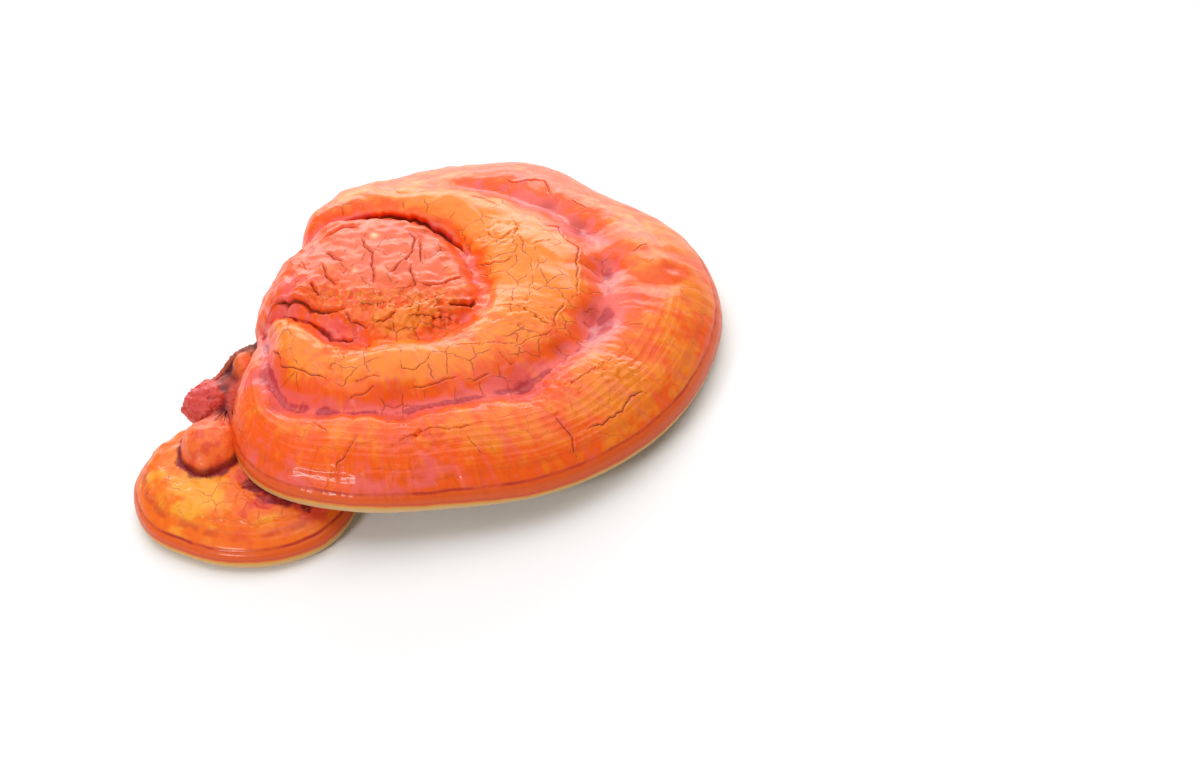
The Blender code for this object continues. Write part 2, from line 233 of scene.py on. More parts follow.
# The lobed edge of the small cap's last layer, from its left to its right side, then cracks as above.
SMALL_LAYER = (
    (-25, -8), (-26, -14), (-24, -19), (-19, -26), (-13, -31), (-7, -33), (-2, -36), (3, -37), (5, -38),
    (10, -40), (15, -39), (21, -38), (24, -37), (32, -35), (36, -32), (40, -25),
)
LAYER_STEP = 0.3 * MM
LAYER_REACH = 400           # half widths, so that every place knows its side of the layer's edge
SMALL_CRACKS = (
    ((0.25, 0.2), SMALL_LAYER),
    (HAIRLINE, ((-7, -13), (-6, -17), (-5, -20))),
    (HAIRLINE, ((-15, -28), (-14, -30), (-13, -32))),
    (HAIRLINE, ((3, -22), (6, -27), (4, -31), (5, -34))),
    (HAIRLINE, ((-12, -26), (-7, -27), (-3, -29))),
    (CRACK, ((6, -28), (8, -30), (11, -33), (12, -35), (16, -36))),
    (HAIRLINE, ((-17, -13), (-14, -9), (-10, -9))),
    (HAIRLINE, ((-20, -15), (-17, -19), (-13, -20))),
    (HAIRLINE, ((16, -30), (20, -31), (26, -33), (31, -33))),
)
# Where its crust is yellower, redder and stained dark: x, y, radius and strength.
SMALL_YELLOWS = (
    (-4, -23, 11, 3.6), (-10, -29, 6, 1.6), (12, -38, 5, 1.8), (20, -36, 5, 1.2), (-22, -10, 7, 0.8),
)
SMALL_REDS = (
    (8, -36, 4, 4.0), (15, -33, 4, 6.0), (28, -33, 5, 7.0), (-2, -34, 4, 1.5), (22, -28, 9, 4.0),
    (6, -22, 8, 4.0),
)
# The dark spots follow the large cap's margin where it overhangs this cap: partly a real stain, partly
# painted shadow of that margin.
SMALL_STAINS_AND_SHADOW = (
    (9, -24, 3.0, 1.0), (13, -27, 3.0, 1.0), (17, -31, 3.0, 1.0), (22, -33, 3.0, 0.9), (27, -35, 3.0, 0.9),
    (13, -32, 2.5, 0.6),
)

# The stub: round lumps run together, as centre and half sizes in millimetres, then how woody and how red.
STUB_CORE = (-50, -24, 15)
STUB_LUMPS = (
    ((-46.5, -18, 12), (10.5, 12, 8), 0.3, 0.8),
    ((-37, -5, 12), (10, 10, 8), 1.0, 0.2),
    ((-28, 11, 10), (10, 11, 7), 1.0, 0.2),
    ((-43.5, -9, 14), (8, 8.5, 8), 1.0, 0.2),
    ((-43.5, -13.5, 19), (4.5, 5, 6), 0.0, 0.0),
    ((-57, -22, 14), (8.5, 8, 7.5), 0.1, 1.0),
    ((-55.5, -46, 15.5), (10, 11.5, 9.5), 0.0, 0.15),
)
STUB_BLEND = 2.0 * MM
STUB_SEARCH = 60 * MM
STUB_CUT_TOWARDS = 134
STUB_CUT_AT = 10.6 * MM

# How each ball is shared out: to the widest line, to the lower edge, then the pore face.
TOP_SHARE = 0.64
LIP_SHARE = 0.71
PORE_FACE_FROM = 3.98       # in growth, which is 3 at the widest line and 4 at the lower edge
COARSE_FROM = 4.1

# The balls' cuts, how often they are refined, and the longest edges then.
CAP_CUTS = 58
SMALL_CUTS = 44
STUB_CUTS = 50
REFINE_ROUNDS = 3
CAP_EDGES = SimpleNamespace(crack=0.5 * MM, scuff=0.6 * MM, crust=1.1 * MM, margin=1.5 * MM, pores=3 * MM)
SMALL_EDGES = SimpleNamespace(crack=0.45 * MM, crust=0.8 * MM, pores=2.5 * MM)
STUB_EDGE = 0.9 * MM
STREAK_SIZE = 3 * MM        # width of the radial streaks in the crust's colour

# Colours that no setting changes.
RED_LINE = (0.46, 0.025, 0.022)
BAND_RED = (0.62, 0.055, 0.018)
# The margin's orange is darker than its own colour: painted shade on the margin's outer, down-turned face.
MARGIN_ORANGE_SHADED = (0.76, 0.105, 0.014)
MARGIN_DULL = (0.62, 0.09, 0.04)
# A paler yellow over the margin: partly its own yellower orange, partly painted light on the large cap's
# right margin.
MARGIN_PALE_LIT = (0.95, 0.33, 0.055)
MARGIN_YELLOW = (0.72, 0.36, 0.07)
MARGIN_CREAM = (0.66, 0.43, 0.22)
CRACK_BROWN = (0.36, 0.050, 0.016)
CRAZE_RED = (0.50, 0.060, 0.012)
# Dark crimson for the large cap's pit stains; on the small cap also painted shade at the stub and painted
# shadow under the large cap's margin.
STAIN_AND_SHADE_CRIMSON = (0.26, 0.012, 0.018)
SCUFF_OCHRE = (0.86, 0.24, 0.030)
FLECK_CREAM = (0.84, 0.55, 0.30)
PORE_CREAM = (0.80, 0.66, 0.40)
PORE_BRUISE = (0.62, 0.42, 0.20)
PORE_BAND = (0.56, 0.36, 0.17)
PORE_BROWN = (0.36, 0.20, 0.09)
LUMP_ORANGE = (0.95, 0.17, 0.018)
LUMP_ROSE = (0.74, 0.075, 0.07)
LUMP_RED = (0.72, 0.05, 0.018)
WOOD_BLACK = (0.07, 0.022, 0.018)
WOOD_BROWN = (0.26, 0.08, 0.055)
# Painted shade: crimson-black in the gaps between the stub's lumps and where it meets the small cap.
GAP_SHADE_CRIMSON = (0.12, 0.012, 0.018)
JOINT_SHADE_CRIMSON = (0.16, 0.008, 0.014)
FIBRE_BROWN = (0.20, 0.075, 0.03)
BLOTCH_BROWN = (0.14, 0.05, 0.025)
FLOOR_WHITE = (0.97, 0.97, 0.97)
# The margin's colours by the way in millimetres over its widest line, and the span of their ramp.
MARGIN_STOPS = (
    (-6.0, MARGIN_CREAM), (-1.2, MARGIN_CREAM), (0.35, MARGIN_YELLOW), (1.1, MARGIN_ORANGE_SHADED),
    (1.5, MARGIN_DULL), (2.1, MARGIN_ORANGE_SHADED), (6.5, MARGIN_ORANGE_SHADED),
)
RIM_LOW, RIM_HIGH = -8.0, 12.0

# The softboxes: place, size and the setting that holds the power. All look at the same place.
SOFTBOXES = {
    "top_softbox": ((0.12, 0.35, 1.4), (2.2, 1.8), "top"),
    "back_panel": ((0.1, 1.3, 0.4), (1.5, 0.7), "back"),
    "front_softbox": ((-0.56, -0.72, 0.50), (0.28, 0.10), "front"),
}
LIT_PLACE = (0, 0, 20 * MM)

# The photograph's view, fitted to the caps: pixels of the 1200 wide frame.
PHOTO_SIZE = (1200, 773)
PIXELS_PER_MM = 3.0
ORIGIN_PIXEL = (445, 400)
VIEW_DOWN = 42
VIEW_ROLL = 8
VIEW_AWAY = 1.0
VIEW_POINT = (CAP_GROWTH[0] + 20 * MM, CAP_GROWTH[1] - 20 * MM, 0.0)
SENSOR_WIDTH = 36.0


class CapSettings(bpy.types.PropertyGroup):
    """Sizes and colours of the large cap's crust."""

    lumpiness: bpy.props.FloatProperty(
        name="Lumpiness", description="Height of the pillows of the rolls", default=0.8 * MM, unit="LENGTH"
    )
    wrinkles: bpy.props.FloatProperty(
        name="Wrinkles", description="Height of the radial wrinkles", default=0.28 * MM, unit="LENGTH"
    )
    crack_depth: bpy.props.FloatProperty(
        name="Crack depth", description="Share of each crack's own depth", default=1.0, subtype="FACTOR"
    )
    crest: bpy.props.FloatVectorProperty(
        name="Crest", description="Colour of the high places", default=(0.97, 0.235, 0.012), subtype="COLOR"
    )
    flank: bpy.props.FloatVectorProperty(
        name="Flank", description="Colour of the slopes", default=(0.95, 0.105, 0.004), subtype="COLOR"
    )
    blush: bpy.props.FloatVectorProperty(
        name="Blush", description="Colour of shallow grooves", default=(0.90, 0.125, 0.095), subtype="COLOR"
    )
    hollow: bpy.props.FloatVectorProperty(
        name="Hollow", description="Colour of deep grooves", default=(0.54, 0.045, 0.055), subtype="COLOR"
    )
    old_growth: bpy.props.FloatVectorProperty(
        name="Old growth", description="Colour of the matte knob", default=(0.86, 0.18, 0.10), subtype="COLOR"
    )


class SmallCapSettings(bpy.types.PropertyGroup):
    """Sizes and colours of the small cap's crust."""

    lumpiness: bpy.props.FloatProperty(
        name="Lumpiness", description="Height of the lumps", default=0.5 * MM, unit="LENGTH"
    )
    crest: bpy.props.FloatVectorProperty(
        name="Crest", description="Colour of the high places", default=(0.97, 0.38, 0.035), subtype="COLOR"
    )
    flank: bpy.props.FloatVectorProperty(
        name="Flank", description="Colour of the slopes", default=(0.93, 0.16, 0.010), subtype="COLOR"
    )
    blush: bpy.props.FloatVectorProperty(
        name="Blush", description="Colour of shallow grooves", default=(0.82, 0.07, 0.03), subtype="COLOR"
    )
    hollow: bpy.props.FloatVectorProperty(
        name="Hollow", description="Colour of deep grooves", default=(0.40, 0.015, 0.03), subtype="COLOR"
    )
    old_growth: bpy.props.FloatVectorProperty(
        name="Old growth", description="Colour at the stub", default=(0.93, 0.19, 0.02), subtype="COLOR"
    )


class StubSettings(bpy.types.PropertyGroup):
    """Sizes and colours of the stub."""

    roughness: bpy.props.FloatProperty(
        name="Bark relief", description="Height of the bark's lumps", default=0.9 * MM, unit="LENGTH"
    )
    flesh: bpy.props.FloatVectorProperty(
        name="Flesh", description="Colour of the cut flesh", default=(0.42, 0.21, 0.085), subtype="COLOR"
    )


class StageSettings(bpy.types.PropertyGroup):
    """The floor and the light."""

    floor_size: bpy.props.FloatProperty(
        name="Floor", description="Side of the floor", default=6.0, unit="LENGTH"
    )
    sky: bpy.props.FloatProperty(name="Sky", description="Light of the white surroundings", default=0.225)
    top: bpy.props.FloatProperty(name="Top light", description="Softbox overhead", default=22.0, unit="POWER")
    back: bpy.props.FloatProperty(
        name="Back light", description="Low panel behind", default=14.0, unit="POWER"
    )
    front: bpy.props.FloatProperty(
        name="Front light", description="Small softbox at the front left", default=3.3, unit="POWER"
    )


def around(table, angle):
    """A smooth closed curve through the table's values, read at angles in degrees."""
    at = np.array(sorted(table), float)
    value = np.array([table[key] for key in sorted(table)], float)
    count = len(at)
    angle = np.mod(angle - at[0], 360) + at[0]
    left = np.clip(np.searchsorted(at, angle, side="right") - 1, 0, count - 1)

    def knot(index):
        return at[index % count] + 360 * (index // count), value[index % count]

    (a0, v0), (a1, v1), (a2, v2), (a3, v3) = (knot(left + step) for step in (-1, 0, 1, 2))
    span = a2 - a1
    t = (angle - a1) / span
    slope_1 = (v2 - v0) / (a2 - a0) * span
    slope_2 = (v3 - v1) / (a3 - a1) * span
    return (
        (2 * t**3 - 3 * t**2 + 1) * v1
        + (t**3 - 2 * t**2 + t) * slope_1
        + (3 * t**2 - 2 * t**3) * v2
        + (t**3 - t**2) * slope_2
    )


def ease(low, high, x):
    """0 at low, 1 at high and smooth between; low may be above high."""
    t = np.clip((x - low) / (high - low), 0, 1)
    return t * t * (3 - 2 * t)


def bump(x, width):
    return np.exp(-((x / width) ** 2))


def swellings(table, x, y):
    """The sum of round swellings given as x, y, radius and height in millimetres."""
    total = np.zeros(len(x))
    for centre_x, centre_y, radius, height in table:
        total += height * MM * bump(np.hypot(x - centre_x * MM, y - centre_y * MM), radius * MM)
    return total


def strength(table, x, y, gain=1.0):
    """The sum of round marks given as x, y, radius in millimetres and strength, held to 0 to 1."""
    return np.clip(gain * swellings(table, x, y) / MM, 0, 1)


def across_and_up(radius, angle):
    """X and Y of places in plan given by radius and direction."""
    return radius * np.cos(np.radians(angle)), radius * np.sin(np.radians(angle))


def grain(points, size, start=0.0, octaves=2):
    """Smooth noise from about -1 to 1 whose features are about that size."""
    places = points / size + start
    return np.array([noise.fractal(Vector(place), 0.8, 2.1, octaves) for place in places])


def ball(cuts):
    """A ball with even faces, from a cube whose sides are cut up."""
    mesh_ball = bmesh.new()
    bmesh.ops.create_cube(mesh_ball, size=2.0)
    bmesh.ops.subdivide_edges(mesh_ball, edges=mesh_ball.edges, cuts=cuts, use_grid_fill=True)
    for vertex in mesh_ball.verts:
        vertex.co = Vector([math.tan(value * math.pi / 4) for value in vertex.co]).normalized()
    return mesh_ball


def directions(mesh_ball):
    return np.array([vertex.co.normalized()[:] for vertex in mesh_ball.verts])


def refined(mesh_ball, spread, longest):
    """Cuts each edge in two where it is longer than it may be there. The vertices stay on the ball."""
    for _ in range(REFINE_ROUNDS):
        place = spread(directions(mesh_ball))
        limit = longest(place)
        mesh_ball.verts.index_update()
        ends = np.array([[vertex.index for vertex in edge.verts] for edge in mesh_ball.edges])
        length = np.linalg.norm(place.points[ends[:, 0]] - place.points[ends[:, 1]], axis=1)
        too_long = length > np.minimum(limit[ends[:, 0]], limit[ends[:, 1]])
        edges = [edge for edge, cut in zip(mesh_ball.edges, too_long) if cut]
        if not edges:
            break
        bmesh.ops.subdivide_edges(mesh_ball, edges=edges, cuts=1, use_grid_fill=True)
    return mesh_ball


def ball_share(unit):
    """Direction in plan in degrees, and share of the way from the top pole to the bottom one."""
    angle = np.degrees(np.arctan2(unit[:, 1], unit[:, 0]))
    return angle, np.arccos(np.clip(unit[:, 2], -1, 1)) / math.pi


def dome_height(share, dome, fullness):
    return dome * np.sqrt(np.clip(1 - share**fullness, 0, 1))


def below_margin(share, reach, equator, hollow):
    """A bracket's half section under its widest line: radius, height over the low edge, and how far
    along it is, from 3 at the widest line to 4 at the low edge and 5 at the pore face's middle."""
    lip = np.clip((share - TOP_SHARE) / (LIP_SHARE - TOP_SHARE), 0, 1)
    inward = np.clip((share - LIP_SHARE) / (1 - LIP_SHARE), 0, 1)
    turn = lip * math.pi / 2
    radius = np.where(inward > 0, (reach - equator) * (1 - inward), reach - equator * (1 - np.cos(turn)))
    return radius, equator * (1 - np.sin(turn)) + hollow * ease(0, 0.35, inward), 3 + lip + inward


def growth_radii(angle):
    """Radius of the knob's edge, of the second groove and of the margin in each direction."""
    reach = around(CAP_REACH, angle) * MM
    groove = around(SECOND_GROOVE_AT, angle) * reach
    return np.minimum(around(KNOB_REACH, angle) * MM, KNOB_LIMIT * groove), groove, reach


def cap_top(angle, growth):
    """The large cap's top over its margin plane, for a growth of 0 at the crown, 1 at the knob's edge,
    2 at the second groove and 3 at the margin: radius, dome height and the relief on it."""
    knob, groove, reach = growth_radii(angle)
    radius = (
        knob * np.clip(growth, 0, 1)
        + (groove - knob) * np.clip(growth - 1, 0, 1)
        + (reach - groove) * np.clip(growth - 2, 0, 1)
    )
    x, y = across_and_up(radius, angle)
    far_side =0.5 + 0.5 * np.clip(y / FAR_SIDE_AT, -1, 1)
    turned = np.mod(angle, 360)
    off_hilum = 1 - ease(HILUM[0], HILUM[0] + 12, turned) * ease(HILUM[1], HILUM[1] - 10, turned)
    apart = 1 - ease(MERGED[0], MERGED[1], turned) * ease(HILUM[1] - 10, HILUM[1] - 20, turned)
    steep = ease(KNOB_STEEP[0], KNOB_STEEP[1], turned) * ease(KNOB_STEEP[3], KNOB_STEEP[2], turned)
    in_knob = np.clip(growth, 0, 1)
    swell = steep * np.sqrt(1 - in_knob**6) + (1 - steep) * (1 - in_knob**3)
    rise = (KNOB_RISE + KNOB_FAR_RISE * far_side) * swell
    depth = FIRST_GROOVE + (FIRST_GROOVE_FAR - FIRST_GROOVE) * far_side
    first = depth * bump(radius - knob - 0.3 * GROOVE_WIDTH, GROOVE_WIDTH)
    worn = 0.3 * ease(-0.2, 0.6, np.cos(np.radians(angle)))
    second = SECOND_GROOVE * (1 - worn) * bump(radius - groove, GROOVE_WIDTH * (1 + worn))
    inner = INNER_ROLL * np.sin(math.pi * np.clip(growth - 1, 0, 1)) ** 1.3
    outer = OUTER_ROLL * np.sin(math.pi * np.clip(growth - 2, 0, 1)) ** 1.2
    merged = MERGED_ROLL * np.sin(math.pi * np.clip((growth - 1) / 2, 0, 1) ** 0.7) ** 1.2
    rolls = apart * (inner + outer - second) + (1 - apart) * merged
    lumps = swellings(CAP_LUMPS, x, y) - swellings(CAP_DENTS, x, y)
    fade = ease(1.0, 0.93, radius / reach)
    relief = ((rolls - first) * off_hilum + lumps) * fade
    dome = dome_height(radius / reach, CAP_DOME, CAP_FULLNESS)
    return SimpleNamespace(
        radius=radius, dome=dome, relief=relief, height=CAP_EQUATOR + dome + relief + rise * fade,
        reach=reach, past_groove=radius - groove,
    )


def spread_cap(unit):
    """Where each direction of the ball lies on the large cap."""
    angle, share = ball_share(unit)
    is_top = share <= TOP_SHARE
    growth = 3 * np.clip(share / TOP_SHARE, 0, 1)
    top = cap_top(angle, growth)
    low_radius, low_height, low_growth = below_margin(share, top.reach, CAP_EQUATOR, CAP_HOLLOW)
    radius = np.where(is_top, top.radius, low_radius)
    x, y = across_and_up(radius, angle)
    lean_way =math.radians(CAP_LEAN_TOWARDS)
    sink = math.tan(math.radians(CAP_LEAN)) * (x * math.cos(lean_way) + y * math.sin(lean_way))
    height = np.where(is_top, top.height, low_height) - sink
    rim = np.where(
        is_top, np.hypot(top.dome, top.reach - top.radius), (3 - low_growth) * CAP_EQUATOR * math.pi / 2
    )
    return SimpleNamespace(
        points=np.stack([CAP_GROWTH[0] + x, CAP_GROWTH[1] + y, height - height.min()], axis=1),
        x=x, y=y, angle=angle, is_top=is_top, rim=rim,
        growth=np.where(is_top, growth, low_growth), relief=np.where(is_top, top.relief, 0),
        past_groove=np.where(is_top, top.past_groove, 1),
    )


def wandering(points):
    """A crack's line through points in millimetres, as short steps that wander a little to both sides."""
    line = np.array(points, float) * MM
    run = np.concatenate([[0], np.cumsum(np.linalg.norm(np.diff(line, axis=0), axis=1))])
    at = np.linspace(0, run[-1], max(3, int(run[-1] / WANDER_STEP) + 1))
    fine = np.stack([np.interp(at, run, line[:, 0]), np.interp(at, run, line[:, 1])], axis=1)
    quick, slow = (
        np.array([noise.noise_vector(Vector((x, y, 0)) / size) for x, y in fine])[:, :2]
        for size in WANDER_SIZES
    )
    return fine + WANDER_SWAY * quick + 2 * WANDER_SWAY * slow


def nearest_crack(cracks, x, y, far=CRACK_FAR):
    """For each place in plan: the way to the nearest crack in half widths, that crack's depth there,
    the foot of the way, and on which side of the crack the place is. Past far half widths none counts."""
    found = SimpleNamespace(
        ratio=np.full(len(x), far), distance=np.full(len(x), 1.0), depth=np.zeros(len(x)),
        foot_x=x.copy(), foot_y=y.copy(), side=np.zeros(len(x)),
    )
    for (depth, half_width), points in cracks:
        line = wandering(points)
        reach = far * half_width * MM
        low, high = line.min(axis=0) - reach, line.max(axis=0) + reach
        near = np.flatnonzero((x > low[0]) & (x < high[0]) & (y > low[1]) & (y < high[1]))
        if not len(near):
            continue
        start, run = line[:-1], np.diff(line, axis=0)
        away_x = x[near, None] - start[None, :, 0]
        away_y = y[near, None] - start[None, :, 1]
        along = np.clip((away_x * run[:, 0] + away_y * run[:, 1]) / (run**2).sum(axis=1), 0, 1)
        gap = np.hypot(away_x - along * run[:, 0], away_y - along * run[:, 1])
        best = gap.argmin(axis=1)
        rows = np.arange(len(near))
        step, gap = along[rows, best], gap[rows, best]
        done = (best + step) / len(run)
        taper = np.clip(np.minimum(done, 1 - done) * 6, 0.25, 1)
        ratio = gap / (half_width * MM * taper)
        closer = ratio < found.ratio[near]
        chosen = near[closer]
        found.ratio[chosen] = ratio[closer]
        found.distance[chosen] = gap[closer]
        found.depth[chosen] = depth * MM * taper[closer]
        found.foot_x[chosen] = (start[best, 0] + step * run[best, 0])[closer]
        found.foot_y[chosen] = (start[best, 1] + step * run[best, 1])[closer]
        turn = run[best, 0] * away_y[rows, best] - run[best, 1] * away_x[rows, best]
        found.side[chosen] = np.sign(turn)[closer]
    return found


def facets(points, size):
    """Broken faces of about that size: each leans its own way from about -1 to 1."""
    heights = []
    for place in points / size:
        spot = Vector(place)
        middle = noise.voronoi(spot)[1][0]
        lean = noise.cell_vector(middle * 7)
        heights.append(1.2 * lean.dot(spot - middle) + 0.4 * lean.x)
    return np.array(heights)


def vertex_normals(mesh_ball, points):
    """The normals of the surface through the points; the ball's vertices are moved there."""
    for vertex, point in zip(mesh_ball.verts, points):
        vertex.co = point
    bmesh.ops.recalc_face_normals(mesh_ball, faces=mesh_ball.faces)
    mesh_ball.normal_update()
    return np.array([vertex.normal[:] for vertex in mesh_ball.verts])


def grown(cuts, spread, longest):
    """A refined ball, what its directions become on the piece, and the piece's normals there."""
    mesh_ball = refined(ball(cuts), spread, longest)
    place = spread(directions(mesh_ball))
    return mesh_ball, place, vertex_normals(mesh_ball, place.points)


def from_above(place):
    """The places in plan, as points for noise."""
    return np.stack([place.x, place.y, 0 * place.x], axis=1)


def streak_places(place, across, outwards):
    """Places whose noise runs along the growth, from a circle of that radius in millimetres."""
    turned = np.radians(place.angle)
    circle = [across * MM * np.cos(turned), across * MM * np.sin(turned)]
    return np.stack([*circle, place.growth * outwards * MM], axis=1)


def margin_furrows(rim, upper):
    """The depth of the two fine furrows round a margin, the upper one that far over its widest line."""
    return MARGIN_FURROW * (bump(rim - upper, 0.7 * MM) + 0.6 * bump(rim - 1.3 * MM, 0.5 * MM))


def raised(place, normals, height):
    """The places moved along their normals, but not through the floor."""
    points = place.points + normals * height[:, None]
    points[:, 2] = np.maximum(points[:, 2], 0)
    return points


def piece_from(mesh_ball, name, points, attributes, materials, second_material):
    """The finished piece, with its attributes at the vertices and its second material on some faces."""
    mesh = bpy.data.meshes.new(name)
    mesh_ball.to_mesh(mesh)
    mesh_ball.free()
    mesh.vertices.foreach_set("co", np.asarray(points, np.float32).ravel())
    for key, values in attributes.items():
        kind, part = ("FLOAT_VECTOR", "vector") if values.ndim == 2 else ("FLOAT", "value")
        made = mesh.attributes.new(key, kind, "POINT")
        made.data.foreach_set(part, values.astype(np.float32).ravel())
    for material in materials:
        mesh.materials.append(material)
    owner = [1 if all(second_material[index] for index in face.vertices) else 0 for face in mesh.polygons]
    mesh.polygons.foreach_set("material_index", owner)
    mesh.update()
    mesh.shade_smooth()
    piece = bpy.data.objects.new(name, mesh)
    bpy.context.scene.collection.objects.link(piece)
    return piece


def stand_for(piece, node):
    """Says which CAD solid the piece takes the place of."""
    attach(piece, "root")
    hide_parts(node)


def node(tree, kind, inputs=None, **settings):
    """A node with its settings and inputs: a socket is linked, and anything else is a constant."""
    made = tree.nodes.new(kind)
    for name, value in settings.items():
        setattr(made, name, value)
    for key, value in (inputs or {}).items():
        if isinstance(value, bpy.types.NodeSocket):
            tree.links.new(value, made.inputs[key])
        else:
            made.inputs[key].default_value = value
    return made


def maths(tree, operation, first, second, third=0.0):
    return node(tree, "ShaderNodeMath", {0: first, 1: second, 2: third}, operation=operation).outputs[0]


def chained(tree, operation, *values):
    """All the values added or multiplied, two at a time."""
    made = values[0]
    for value in values[1:]:
        made = maths(tree, operation, made, value)
    return made


def swayed(tree, value, sway):
    """Noise from 0 to 1, carried to as much below 0 as above it."""
    return maths(tree, "MULTIPLY_ADD", value, 2 * sway, -sway)


def span(tree, value, low, high, to_low=0.0, to_high=1.0):
    """The value from low to high, carried smoothly to another span and held at its ends."""
    made = node(
        tree, "ShaderNodeMapRange",
        {"Value": value, "From Min": low, "From Max": high, "To Min": to_low, "To Max": to_high},
        interpolation_type="SMOOTHSTEP",
    )
    return made.outputs[0]


def opaque(colour):
    """A colour as a node takes it: a socket as it is, and three numbers with an alpha."""
    return colour if isinstance(colour, bpy.types.NodeSocket) else (*colour, 1)


def painted(tree, base, *coats):
    """The base colour under coats of (share, colour), each laid over those before it."""
    under = opaque(base)
    for share, colour in coats:
        made = node(tree, "ShaderNodeMix", {0: share, 6: under, 7: opaque(colour)}, data_type="RGBA")
        under = made.outputs[2]
    return under


def attribute(tree, name, output="Fac"):
    return node(tree, "ShaderNodeAttribute", attribute_name=name).outputs[output]


def object_place(tree):
    return node(tree, "ShaderNodeTexCoord").outputs["Object"]


def noise_value(tree, vector, size, detail=2.0):
    """Noise around 0.5 whose features are about that size in metres."""
    made = node(tree, "ShaderNodeTexNoise", {"Vector": vector, "Scale": 1 / size, "Detail": detail})
    return made.outputs["Fac"]


def noise_rings(tree, value, scale):
    """Noise around 0.5 that changes with the value only."""
    inputs = {"Scale": scale, "Detail": 2.0, "W": value}
    return node(tree, "ShaderNodeTexNoise", inputs, noise_dimensions="1D").outputs["Fac"]


def bent(tree, vector, size, sway):
    """The vector moved by up to about the sway, for a pattern that mustn't look drawn."""
    blots = node(tree, "ShaderNodeTexNoise", {"Vector": vector, "Scale": 1 / size, "Detail": 1.0})
    offset = node(
        tree, "ShaderNodeVectorMath", {0: blots.outputs["Color"], 1: [2 * sway] * 3, 2: [-sway] * 3},
        operation="MULTIPLY_ADD",
    )
    moved = node(tree, "ShaderNodeVectorMath", {0: vector, 1: offset.outputs[0]}, operation="ADD")
    return moved.outputs[0]


def ramp(tree, value, stops):
    """A colour ramp over a value from 0 to 1."""
    made = node(tree, "ShaderNodeValToRGB", {"Fac": value})
    elements = made.color_ramp.elements
    while len(elements) < len(stops):
        elements.new(0.5)
    for element, (place, colour) in zip(elements, stops):
        element.position = place
        element.color = opaque(colour)
    return made.outputs["Color"]


def new_group(name, inputs, outputs):
    """An empty node group, with its inputs given by their defaults and its outputs by their kinds."""
    group = bpy.data.node_groups.new(name, "ShaderNodeTree")
    for label, default in inputs.items():
        kind = "NodeSocketColor" if isinstance(default, tuple) else "NodeSocketFloat"
        group.interface.new_socket(label, in_out="INPUT", socket_type=kind).default_value = default
    for label, kind in outputs.items():
        group.interface.new_socket(label, in_out="OUTPUT", socket_type=kind)
    return group, group.nodes.new("NodeGroupInput"), group.nodes.new("NodeGroupOutput")


